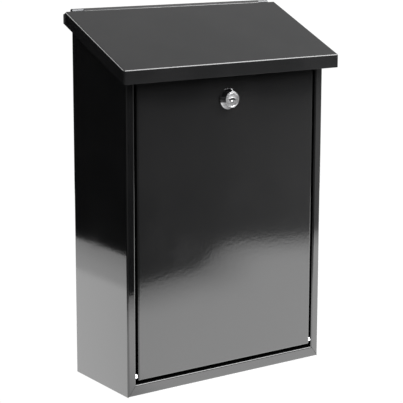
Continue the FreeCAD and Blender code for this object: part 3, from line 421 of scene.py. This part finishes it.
# Painted light: the lid's black is lightened by half, so that it reads lighter than the casing.
powder_on_lid = black_powder("gloss_powder_lid", 0.110, 0.150, 0.0120 * MM, 7.0, 0.16 * MM, painted_light_lift=1.5,
                             matt_from=rod_low.y - 1.8 * MM)
chrome_bezel = satin_chrome("chrome_bezel", rgb(0.64, 0.64, 0.65), rgb(0.56, 0.56, 0.57),
                            0.10, 0.18, 0.0002 * MM, 0.14)
chrome_plug = satin_chrome("chrome_plug", rgb(0.78, 0.78, 0.79), rgb(0.70, 0.70, 0.71),
                           0.22, 0.32, 0.0003 * MM, 0.0)
clear_zinc = plated_metal("clear_zinc", rgb(0.60, 0.61, 0.63), rgb(0.47, 0.48, 0.49), 0.26, 0.42, 90.0)
bright_zinc = plated_metal("bright_zinc", rgb(0.72, 0.73, 0.75), rgb(0.60, 0.61, 0.63), 0.20, 0.34, 60.0)
dull_zinc = plated_metal("dull_zinc", rgb(0.115, 0.117, 0.120), rgb(0.085, 0.087, 0.090), 0.46, 0.60, 70.0)
spring_steel = plated_metal("spring_steel", rgb(0.44, 0.43, 0.42), rgb(0.30, 0.29, 0.28), 0.28, 0.44, 140.0)
rolled_brass = plated_metal("rolled_brass", rgb(0.72, 0.52, 0.24), rgb(0.58, 0.40, 0.17), 0.22, 0.38, 220.0)

CAD_FINISHES = {
    "casing_wrap": powder_on_casing,
    "bottom_pan": powder_on_pan,
    "front_rail": powder_on_pan,
    "lid_panel": powder_on_lid,
    "door_panel": powder_on_door,
    "hinge_strap_left": dull_zinc,
    "hinge_strap_right": dull_zinc,
    "lid_hinge_rod": clear_zinc,
    "pivot_rivet_left": bright_zinc,
    "pivot_rivet_right": bright_zinc,
    "pivot_retainer_left": spring_steel,
    "pivot_retainer_right": spring_steel,
    "lock_washer": clear_zinc,
    "lock_cam": clear_zinc,
    "cam_washer": spring_steel,
    "cam_screw": clear_zinc,
    "wafer_tumblers": rolled_brass,
    "wafer_springs": spring_steel,
}
for node_name, finish in CAD_FINISHES.items():
    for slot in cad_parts[node_name].material_slots:
        slot.material = finish


# ---------------------------------------------------------------- modelling helpers

def clear_selection():
    if bpy.context.object and bpy.context.object.mode != "OBJECT":
        bpy.ops.object.mode_set(mode="OBJECT")
    bpy.ops.object.select_all(action="DESELECT")


def pick(piece):
    clear_selection()
    bpy.context.view_layer.objects.active = piece
    piece.select_set(True)


def edit_all():
    bpy.ops.object.mode_set(mode="EDIT")
    bpy.ops.mesh.select_all(action="SELECT")


def name_piece(name):
    piece = bpy.context.object
    piece.name = name
    piece.data.name = name
    bpy.ops.object.transform_apply(location=True, rotation=True, scale=True)
    return piece


def select_edges(piece, test):
    """Selects the edges whose two ends both pass the test."""
    mesh = bmesh.from_edit_mesh(piece.data)
    for edge in mesh.edges:
        edge.select_set(all(test(vertex.co) for vertex in edge.verts))
    bmesh.update_edit_mesh(piece.data)


def turned(name, outline, steps=96):
    """Spins a closed outline of (depth, radius) points about the lock's axis."""
    clear_selection()
    bpy.ops.mesh.primitive_plane_add(size=MM, location=(AXIS_X + outline[0][1], outline[0][0], AXIS_Z))
    piece = name_piece(name)
    edit_all()
    bpy.ops.mesh.merge(type="CENTER")
    at = outline[0]
    for point in outline[1:] + outline[:1]:
        step = (point[1] - at[1], point[0] - at[0], 0.0)
        bpy.ops.mesh.extrude_vertices_move(TRANSFORM_OT_translate={"value": step})
        at = point
    bpy.ops.mesh.select_all(action="SELECT")
    bpy.ops.mesh.spin(steps=steps, angle=2 * math.pi, center=(AXIS_X, 0.0, AXIS_Z), axis=(0.0, 1.0, 0.0))
    bpy.ops.mesh.select_all(action="SELECT")
    bpy.ops.mesh.remove_doubles(threshold=0.001 * MM)
    bpy.ops.mesh.dissolve_degenerate(threshold=0.001 * MM)
    bpy.ops.mesh.select_all(action="SELECT")
    bpy.ops.mesh.normals_make_consistent(inside=False)
    bpy.ops.object.mode_set(mode="OBJECT")
    return piece


def carve(piece, cutter, operation="DIFFERENCE"):
    """Cuts one mesh with another and removes the cutter."""
    pick(piece)
    cut = piece.modifiers.new("carve", "BOOLEAN")
    cut.operation = operation
    cut.solver = "EXACT"
    cut.object = cutter
    bpy.ops.object.modifier_apply(modifier=cut.name)
    bpy.data.objects.remove(cutter)


def weld_points(piece):
    """Joins points that a cut left on top of each other."""
    pick(piece)
    edit_all()
    bpy.ops.mesh.remove_doubles(threshold=0.002 * MM)
    bpy.ops.mesh.dissolve_degenerate(threshold=0.001 * MM)
    bpy.ops.object.mode_set(mode="OBJECT")


def ease_edges(piece, width):
    """Rounds a piece's sharp edges."""
    pick(piece)
    bevel = piece.modifiers.new("eased", "BEVEL")
    bevel.width = width
    bevel.segments = 2
    bevel.limit_method = "ANGLE"
    bevel.angle_limit = math.radians(32)
    bpy.ops.object.modifier_apply(modifier=bevel.name)


def finish_piece(piece, material, body, slot, *nodes):
    """Shades a piece and says which body it rides and what it replaces; the slot argument is not used."""
    pick(piece)
    bpy.ops.object.shade_smooth_by_angle(angle=math.radians(28))
    piece.data.materials.clear()
    piece.data.materials.append(material)
    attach(piece, body)
    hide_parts(*nodes)


def block(name, low, high):
    """A box between two corners."""
    clear_selection()
    middle = [(a + b) / 2 for a, b in zip(low, high)]
    bpy.ops.mesh.primitive_cube_add(size=1.0, location=middle)
    bpy.context.object.scale = [b - a for a, b in zip(low, high)]
    return name_piece(name)


# ---------------------------------------------------------------- lock

DOOR_FACE = door_low.y
FACE = housing_low.y
BARREL_END = housing_high.y
BEZEL = (housing_high.x - housing_low.x) / 2
BARREL = 9.25 * MM
FLAT = 8.0 * MM
THREAD_START = DOOR_FACE + 1.0 * MM
THREAD_ROOT = BARREL - 0.42 * MM
THREAD_PITCH = 1.08 * MM
PLUG_HEAD = (plug_high.x - plug_low.x) / 2
PLUG_BODY = 6.25 * MM
PLUG_FACE = plug_low.y
PLUG_STEP = PLUG_FACE + 3.0 * MM
PLAY = 0.06 * MM
CAM_FRONT = cam_low.y
CAM_REAR = cam_high.y


def lock_bezel():
    """Housing: cone and flat face in front of the door, threaded barrel with two flats behind."""
    bore = PLUG_BODY + PLAY
    head_bore = PLUG_HEAD + PLAY
    outline = [
        # Stepped bore and its eased mouth.
        (BARREL_END, bore), (PLUG_STEP + PLAY, bore), (PLUG_STEP + PLAY, head_bore),
        (FACE + 0.16 * MM, head_bore), (FACE + 0.05 * MM, head_bore + 0.05 * MM),
        # Flat face, with a close row of points at each edge so that it shades flat.
        (FACE, head_bore + 0.14 * MM), (FACE, head_bore + 0.22 * MM),
        (FACE, BEZEL - 2.86 * MM), (FACE, BEZEL - 2.78 * MM), (FACE + 0.04 * MM, BEZEL - 2.70 * MM),
        (FACE + 0.13 * MM, BEZEL - 2.65 * MM),
        # Cone, its rounded foot and the seat on the door.
        (FACE + 0.26 * MM, BEZEL - 2.63 * MM),
        (DOOR_FACE - 1.45 * MM, BEZEL - 0.36 * MM), (DOOR_FACE - 1.12 * MM, BEZEL - 0.22 * MM),
        (DOOR_FACE - 0.86 * MM, BEZEL - 0.08 * MM), (DOOR_FACE - 0.62 * MM, BEZEL),
        (DOOR_FACE - 0.14 * MM, BEZEL), (DOOR_FACE, BEZEL - 0.12 * MM), (DOOR_FACE, BARREL),
        (THREAD_START, BARREL)]
    depth = THREAD_START
    while depth + 1.0 * MM < BARREL_END - 0.6 * MM:
        outline += [(depth + 0.45 * MM, THREAD_ROOT), (depth + 0.60 * MM, THREAD_ROOT),
                    (depth + 1.0 * MM, BARREL), (depth + THREAD_PITCH, BARREL)]
        depth += THREAD_PITCH
    outline += [(BARREL_END - 0.5 * MM, BARREL - 0.05 * MM), (BARREL_END, BARREL - 0.5 * MM)]
    piece = turned("lock_bezel", outline, steps=112)
    for side in (-1, 1):
        near = AXIS_X + side * FLAT
        far = AXIS_X + side * (BARREL + 3 * MM)
        cutter = block("flat_cutter", (min(near, far), DOOR_FACE, AXIS_Z - 2 * BARREL),
                       (max(near, far), BARREL_END + 3 * MM, AXIS_Z + 2 * BARREL))
        carve(piece, cutter)
    weld_points(piece)
    finish_piece(piece, chrome_bezel, "door", "lock_chrome", "lock_housing")


SLOT_LENGTH = 7.6 * MM
SLOT_WIDTH = 2.0 * MM
SLOT_BOW = 9.0 * MM
SLOT_RISE = 0.6 * MM
SLOT_DEPTH = 19.0 * MM
SLOT_STEPS = 12


def bowed_slot_cutter():
    """A flat bar swept along an arc that rises in its middle, as the keyway is."""
    clear_selection()
    half_turn = math.asin(SLOT_LENGTH / 2 / SLOT_BOW)
    pivot = (AXIS_X, PLUG_FACE, AXIS_Z + SLOT_RISE - SLOT_BOW)
    bpy.ops.mesh.primitive_plane_add(
        size=1.0, location=(AXIS_X, PLUG_FACE + SLOT_DEPTH / 2 - MM, AXIS_Z + SLOT_RISE),
        rotation=(0.0, math.pi / 2, 0.0))
    bpy.context.object.scale = (SLOT_WIDTH, SLOT_DEPTH + 2 * MM, 1.0)
    cutter = name_piece("slot_cutter")
    edit_all()
    mesh = bmesh.from_edit_mesh(cutter.data)
    for vertex in mesh.verts:
        reach = vertex.co.z - pivot[2]
        vertex.co.x = pivot[0] + math.sin(half_turn) * reach
        vertex.co.z = pivot[2] + math.cos(half_turn) * reach
    bmesh.update_edit_mesh(cutter.data)
    bpy.ops.mesh.spin(steps=SLOT_STEPS, angle=2 * half_turn, center=pivot, axis=(0.0, 1.0, 0.0))
    bpy.ops.mesh.select_all(action="SELECT")
    bpy.ops.mesh.normals_make_consistent(inside=False)
    bpy.ops.object.mode_set(mode="OBJECT")
    return cutter


TANG_HALF = 3.5 * MM
SCREW_HOLE = 2.4 * MM
SCREW_DEPTH = 5.0 * MM
LEAD_IN_RADIUS = 2.9 * MM
LEAD_IN_FLATTENING = 0.65
LEAD_IN_PLACE = (AXIS_X - 0.4 * MM, PLUG_FACE - 2.5 * MM, AXIS_Z - 0.75 * MM)
SLOT_EASE = 0.10 * MM
WAFER_COUNT = 5
WAFER_HALF = 0.45 * MM
WAFER_SLOT_HALF = 0.55 * MM
WAFER_PLAY = 0.1 * MM


def lock_plug_piece():
    """Plug that the key turns: dished face, bowed keyway, wafer slots and a square end."""
    head = PLUG_HEAD
    outline = [
        (PLUG_FACE + 0.04 * MM, 0.0), (PLUG_FACE + 0.04 * MM, head - 1.30 * MM),
        (PLUG_FACE + 0.04 * MM, head - 1.20 * MM), (PLUG_FACE, head - 0.95 * MM),
        (PLUG_FACE, head - 0.85 * MM), (PLUG_FACE, head - 0.24 * MM), (PLUG_FACE, head - 0.16 * MM),
        (PLUG_FACE + 0.05 * MM, head - 0.06 * MM), (PLUG_FACE + 0.16 * MM, head),
        (PLUG_STEP, head), (PLUG_STEP, PLUG_BODY), (CAM_FRONT - 0.2 * MM, PLUG_BODY),
        (CAM_FRONT, PLUG_BODY - 0.2 * MM), (CAM_FRONT, 0.0)]
    piece = turned("lock_plug_turned", outline)
    tang = block("tang", (AXIS_X - TANG_HALF, CAM_FRONT - MM, AXIS_Z - TANG_HALF),
                 (AXIS_X + TANG_HALF, CAM_REAR, AXIS_Z + TANG_HALF))
    ease_edges(tang, 0.2 * MM)
    carve(piece, tang, "UNION")
    hole = [(CAM_REAR - SCREW_DEPTH, 0.0), (CAM_REAR - SCREW_DEPTH, SCREW_HOLE),
            (CAM_REAR + MM, SCREW_HOLE), (CAM_REAR + MM, 0.0)]
    carve(piece, turned("screw_hole", hole, steps=40))
    clear_selection()
    bpy.ops.mesh.primitive_uv_sphere_add(
        segments=48, ring_count=24, radius=LEAD_IN_RADIUS, location=LEAD_IN_PLACE)
    bpy.context.object.scale = (1.0, 1.0, LEAD_IN_FLATTENING)
    carve(piece, name_piece("key_lead_in"))
    carve(piece, bowed_slot_cutter())
    pick(piece)
    bpy.ops.object.mode_set(mode="EDIT")
    reach = SLOT_LENGTH / 2 + 0.3 * MM
    # The mouth of the slot: edges near the face, within the slot's height.
    select_edges(piece, lambda place: place.y < PLUG_FACE + 0.6 * MM and abs(place.x - AXIS_X) < reach
                 and -1.9 * MM < place.z - AXIS_Z < 1.7 * MM)
    bpy.ops.mesh.bevel(offset=SLOT_EASE, segments=2, affect="EDGES", clamp_overlap=True)
    bpy.ops.object.mode_set(mode="OBJECT")
    first = wafers_low.y + WAFER_HALF
    pitch = (wafers_high.y - wafers_low.y - 2 * WAFER_HALF) / (WAFER_COUNT - 1)
    half_wide = (wafers_high.z - wafers_low.z) / 2 + WAFER_PLAY
    side = PLUG_BODY + MM
    for index in range(WAFER_COUNT):
        place = first + index * pitch
        carve(piece, block("wafer_slot", (AXIS_X - side, place - WAFER_SLOT_HALF, AXIS_Z - half_wide),
                           (AXIS_X + side, place + WAFER_SLOT_HALF, AXIS_Z + half_wide)))
    finish_piece(piece, chrome_plug, "lock_plug", "lock_chrome", "lock_plug")


NUT_CROWN = 0.9 * MM
BORE_CHAMFER = 0.4 * MM


def lock_nut_piece():
    """Hexagon nut with its corners chamfered on both faces and a chamfered plain bore."""
    half_flats = (nut_high.z - nut_low.z) / 2
    corner = half_flats / math.cos(math.pi / 6)
    height = nut_high.y - nut_low.y
    clear_selection()
    bpy.ops.mesh.primitive_cylinder_add(
        vertices=6, radius=corner, depth=height, rotation=(math.pi / 2, 0.0, 0.0),
        location=(AXIS_X, (nut_low.y + nut_high.y) / 2, AXIS_Z))
    piece = name_piece("lock_nut_faced")
    across = max(vertex.co.z for vertex in piece.data.vertices) - AXIS_Z
    if across > half_flats + 0.01 * MM:  # a corner points up: turn a flat there
        edit_all()
        bpy.ops.transform.rotate(value=math.pi / 6, orient_axis="Y", center_override=(AXIS_X, 0.0, AXIS_Z))
        bpy.ops.object.mode_set(mode="OBJECT")
    front, rear = nut_low.y, nut_high.y
    outside, rim = corner + 0.1 * MM, half_flats - 0.1 * MM
    crown = [(front - MM, 0.0), (front - MM, half_flats - 1.4 * MM), (front, rim),
             (front + NUT_CROWN, outside), (rear - NUT_CROWN, outside),
             (rear, rim), (rear + MM, half_flats - 1.4 * MM), (rear + MM, 0.0)]
    carve(piece, turned("crown", crown), "INTERSECT")
    mouth, beyond = BARREL + 0.35 * MM, BARREL + 0.5 * MM
    bore = [(front - MM, 0.0), (front - MM, beyond), (front, mouth),
            (front + BORE_CHAMFER, BARREL), (rear - BORE_CHAMFER, BARREL),
            (rear, mouth), (rear + MM, beyond), (rear + MM, 0.0)]
    carve(piece, turned("bore", bore))
    weld_points(piece)
    finish_piece(piece, clear_zinc, "door", "zinc_plated_steel", "lock_nut")


lock_bezel()
lock_plug_piece()
lock_nut_piece()


# ---------------------------------------------------------------- studio

# Just over full white, so that the background stays white everywhere.
WHITE = 1.02
FLOOR_SIZE = 9.0
FLOOR_DROP = 0.30


def empty_tree(owner):
    """Node tree of a material or world, with no nodes in it."""
    owner.use_nodes = True
    owner.node_tree.nodes.clear()
    return owner.node_tree


def camera_rays(tree):
    return add_node(tree, "ShaderNodeLightPath").outputs["Is Camera Ray"]


def make_floor():
    """Plain pale floor well below the mailbox."""
    clear_selection()
    bpy.ops.mesh.primitive_plane_add(size=FLOOR_SIZE, location=(0.0, 0.0, cad_low.z - FLOOR_DROP))
    floor = name_piece("studio_floor")
    material = bpy.data.materials.new("pale_floor")
    tree = empty_tree(material)
    output = add_node(tree, "ShaderNodeOutputMaterial")
    white = add_node(tree, "ShaderNodeEmission")
    white.inputs["Strength"].default_value = WHITE
    matt = add_node(tree, "ShaderNodeBsdfDiffuse")
    matt.inputs["Color"].default_value = rgb(0.8, 0.8, 0.8)
    surface = mix_shaders(tree, camera_rays(tree), matt.outputs["BSDF"], white.outputs["Emission"])
    feed(tree, surface, output.inputs["Surface"])
    floor.data.materials.append(material)
    floor.visible_glossy = False


TABLE_LOW = (-0.455, -0.66)
TABLE_HIGH = (1.10, 1.00)
TABLE_GLOW = 5.0
# Shares of the glow from left to right, and the places where it changes.
RIM_GLOW, RIM_GLOW_INNER, STEP_GLOW, RIGHT_GLOW = 0.385, 0.50, 0.185, 0.32
RIM_END = -0.372
STEP_END = -0.345
RIGHT_START, RIGHT_FULL = -0.14, -0.06
CASING_DEPTH = 0.108
# The curve of the front edge: where it turns, how far forward it lies, how dim it is.
EDGE_LEFT, EDGE_RIGHT = 0.20, 0.39
EDGE_BACK, EDGE_FRONT = 0.510, 0.628
EDGE_TURN = 0.385
EDGE_DIM = 0.42


def slope_past(tree, value, slope):
    """A line that rises from zero where the value passes zero."""
    return calc(tree, "MULTIPLY", calc(tree, "MAXIMUM", value, 0.0), slope)


def make_reflecting_table():
    """A lit white sheet at the mailbox's foot, seen only in the gloss of the paint."""
    clear_selection()
    middle = [(low + high) / 2 for low, high in zip(TABLE_LOW, TABLE_HIGH)]
    bpy.ops.mesh.primitive_plane_add(size=1.0, location=(middle[0], middle[1], cad_low.z - MM))
    bpy.context.object.scale = [high - low for low, high in zip(TABLE_LOW, TABLE_HIGH)] + [1.0]
    table = name_piece("reflecting_table")
    material = bpy.data.materials.new("lit_table")
    tree = empty_tree(material)
    output = add_node(tree, "ShaderNodeOutputMaterial")
    glow = add_node(tree, "ShaderNodeEmission")
    across, deep, _ = split_place(tree)
    # From left to right the table brightens in three steps.
    rim = between(tree, across, TABLE_LOW[0], RIM_END, RIM_GLOW, RIM_GLOW_INNER)
    step = between(tree, across, RIM_END, STEP_END, 0.0, STEP_GLOW)
    right = between(tree, across, RIGHT_START, RIGHT_FULL, 0.0, RIGHT_GLOW)
    right = calc(tree, "MULTIPLY", right, between(tree, deep, 0.0, -CASING_DEPTH))
    strength = calc(tree, "ADD", calc(tree, "ADD", rim, step), right)
    # The front edge curves: it lies farthest forward at the middle right.
    edge = between(tree, across, EDGE_LEFT, EDGE_RIGHT, EDGE_BACK, EDGE_FRONT)
    left_fall = slope_past(tree, calc(tree, "SUBTRACT", EDGE_LEFT, across), 0.25)
    left_fall = calc(tree, "MINIMUM", left_fall, 0.03)
    right_fall = slope_past(tree, calc(tree, "SUBTRACT", across, EDGE_TURN), 0.30)
    fall = calc(tree, "ADD", left_fall, right_fall)
    past_edge = calc(tree, "SUBTRACT", calc(tree, "ADD", deep, edge), fall)
    strength = calc(tree, "MULTIPLY", strength, between(tree, past_edge, -0.02, 0.14, EDGE_DIM, 1.0))
    feed(tree, calc(tree, "MULTIPLY", strength, TABLE_GLOW), glow.inputs["Strength"])
    clear = add_node(tree, "ShaderNodeBsdfTransparent")
    surface = mix_shaders(tree, between(tree, past_edge, 0.0, 0.02),
                          clear.outputs["BSDF"], glow.outputs["Emission"])
    feed(tree, surface, output.inputs["Surface"])
    table.data.materials.append(material)
    table.visible_camera = False
    table.visible_diffuse = False
    table.visible_shadow = False


SOFTBOX_DISTANCE = 1.7


def make_softbox(name, direction, size, power):
    """An area light that points at the mailbox's middle from the given direction."""
    light = bpy.data.lights.new(name, "AREA")
    light.shape = "RECTANGLE"
    light.size, light.size_y = size
    light.energy = power
    lamp = bpy.data.objects.new(name, light)
    bpy.context.scene.collection.objects.link(lamp)
    toward = Vector(direction).normalized()
    middle = (cad_low + cad_high) / 2
    lamp.location = middle + toward * SOFTBOX_DISTANCE
    lamp.rotation_mode = "QUATERNION"
    lamp.rotation_quaternion = (-toward).to_track_quat("-Z", "Y")
    lamp.visible_camera = False


# Brightness of the room's parts, and where its right side begins.
RIGHT_LIGHT, LEFT_LIGHT, CEILING_LIGHT = 1.14, 0.30, 0.66
RIGHT_FROM, RIGHT_SPAN, RIGHT_POWER = 0.40, 0.31, 1.5
DUSK_SHARE = 0.30


def make_world():
    """White behind the mailbox, and a soft studio, brighter above and to the front right, around it."""
    world = bpy.data.worlds.new("soft_studio")
    bpy.context.scene.world = world
    tree = empty_tree(world)
    output = add_node(tree, "ShaderNodeOutputWorld")
    seen = add_node(tree, "ShaderNodeBackground")
    seen.inputs["Color"].default_value = rgb(1.0, 1.0, 1.0)
    seen.inputs["Strength"].default_value = WHITE
    room = add_node(tree, "ShaderNodeBackground")
    across, deep, up = split_place(tree, add_node(tree, "ShaderNodeTexCoord").outputs["Generated"])
    # Below the horizon the room brightens towards the front right, and in two steps downwards.
    turn = calc(tree, "DIVIDE", calc(tree, "SUBTRACT", across, RIGHT_FROM), RIGHT_SPAN, clamp=True)
    right = calc(tree, "MULTIPLY", calc(tree, "POWER", turn, RIGHT_POWER), RIGHT_LIGHT)
    left = between(tree, across, 0.30, -0.20, 0.0, LEFT_LIGHT)
    front = between(tree, deep, 0.10, -0.30, 0.02, 1.0)
    low = calc(tree, "MULTIPLY", calc(tree, "MAXIMUM", right, left), front)
    dusk = calc(tree, "ADD", between(tree, up, -0.02, -0.085, 0.0, DUSK_SHARE),
                between(tree, up, -0.105, -0.155, 0.0, 1.0 - DUSK_SHARE))
    low = calc(tree, "MULTIPLY", low, dusk)
    above = between(tree, up, 0.05, 0.45, 0.0, CEILING_LIGHT)
    feed(tree, calc(tree, "ADD", low, above), room.inputs["Strength"])
    surface = mix_shaders(tree, camera_rays(tree), room.outputs["Background"], seen.outputs["Background"])
    feed(tree, surface, output.inputs["Surface"])


CAMERA_PLACE = (-0.8876, -1.3296, 0.3317)
CAMERA_DOWN = math.radians(10.54)
CAMERA_TURN = math.radians(-34.38)


def make_camera():
    """A long lens at the front left, pitched down with a small shift."""
    camera_data = bpy.data.cameras.new("camera")
    camera_data.sensor_width = 36.0
    camera_data.lens = 128.3
    camera_data.shift_x = 0.0328
    camera_data.shift_y = -0.08
    camera_data.clip_end = 50.0
    camera = bpy.data.objects.new("camera", camera_data)
    bpy.context.scene.collection.objects.link(camera)
    camera.location = CAMERA_PLACE
    camera.rotation_euler = (math.pi / 2 - CAMERA_DOWN, 0.0, CAMERA_TURN)
    bpy.context.scene.camera = camera


make_floor()
make_reflecting_table()
make_softbox("key_softbox", (0.52, -0.50, 0.69), (1.5, 1.2), 80.0)
make_softbox("back_softbox", (-0.49, 0.42, 0.76), (0.6, 0.6), 9.0)
make_world()
make_camera()
bpy.context.scene.view_settings.view_transform = "Standard"
